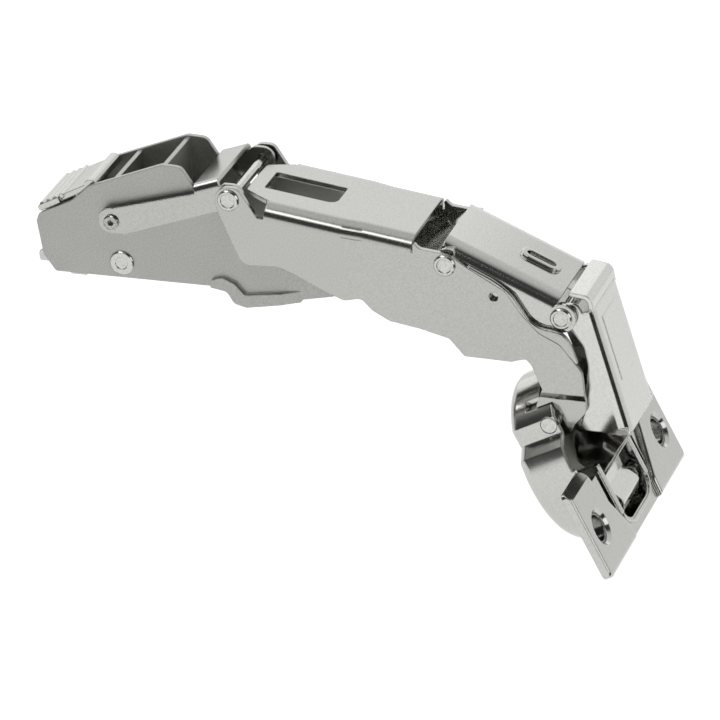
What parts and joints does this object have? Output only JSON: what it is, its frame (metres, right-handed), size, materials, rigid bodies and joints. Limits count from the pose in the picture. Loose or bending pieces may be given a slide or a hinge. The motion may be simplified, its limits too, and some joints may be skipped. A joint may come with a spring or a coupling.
{
  "type": "concealed cup hinge",
  "caption": "Wide-angle concealed cup hinge shown open: folded sheet links join a cabinet-side arm to a flanged cup sunk in the door.",
  "frame": {"origin": "on the arm's seating face, over the middle of its carriage", "axes": "+X along the cabinet side towards the door, +Y along the pins, +Z away from the cabinet side"},
  "size_m": [0.1231, 0.0572, 0.0731],
  "materials": {
    "arm_satin": "satin nickel plate",
    "link_sheet": "satin nickel plate on folded sheet",
    "cup_plate": "polished nickel plate",
    "pin_steel": "turned bright steel",
    "screw_steel": "zinc plated screw",
    "spring_steel": "drawn spring wire"
  },
  "bodies": {
    "arm": {"arm_housing": "arm_satin", "seat_carriage": "link_sheet", "carriage_rivet": "pin_steel", "side_screw": "screw_steel", "depth_cam": "screw_steel", "catch_pin": "pin_steel", "catch_spring": "spring_steel", "lever_screws": "screw_steel", "front_pin": "pin_steel"},
    "release_lever": {"release_lever": "link_sheet"},
    "lever_link": {"lever_link": "link_sheet"},
    "crossing_link": {"crossing_link": "link_sheet", "end_pin": "pin_steel"},
    "outer_link": {"outer_link": "link_sheet", "link_pin": "pin_steel", "cross_pin": "pin_steel"},
    "inner_link": {"inner_link": "link_sheet", "front_cup_pin": "pin_steel", "closing_springs": "spring_steel"},
    "cup": {"cup_body": "cup_plate", "rear_cup_pin": "pin_steel"}
  },
  "joints": [
    {"name": "fold", "type": "hinge", "parent": "arm", "child": "crossing_link", "pos_m": [0.0374, 0, 0.0029], "axis": [0, -1, 0], "range_deg": [0, 120.5]},
    {"name": "lever_swing", "type": "hinge", "parent": "arm", "child": "lever_link", "pos_m": [-0.006, 0, 0.0125], "axis": [0, -1, 0], "range_deg": [0, 120.5]},
    {"name": "outer_swing", "type": "hinge", "parent": "crossing_link", "child": "outer_link", "pos_m": [0.0624, 0, 0.0106], "axis": [0, -1, 0], "range_deg": [-120.5, 0]},
    {"name": "cup_swing", "type": "hinge", "parent": "outer_link", "child": "cup", "pos_m": [0.08315, 0, -0.02052], "axis": [0, -1, 0], "range_deg": [0, 153]},
    {"name": "inner_swing", "type": "hinge", "parent": "crossing_link", "child": "inner_link", "pos_m": [0.0852, 0, 0.0012], "axis": [0, -1, 0], "range_deg": [-98, 0]},
    {"name": "release", "type": "hinge", "parent": "arm", "child": "release_lever", "pos_m": [-0.015, 0, 0.0075], "axis": [0, 1, 0], "range_deg": [0, 10], "stiffness_Nm_per_rad": 0.06}
  ],
  "couplings": [
    {"joint": "lever_swing", "follows": "fold", "ratio": 1},
    {"joint": "outer_swing", "follows": "fold", "ratio": -1},
    {"joint": "cup_swing", "follows": "fold", "ratio": 1.2697},
    {"joint": "inner_swing", "follows": "fold", "ratio": -0.8131}
  ]
}
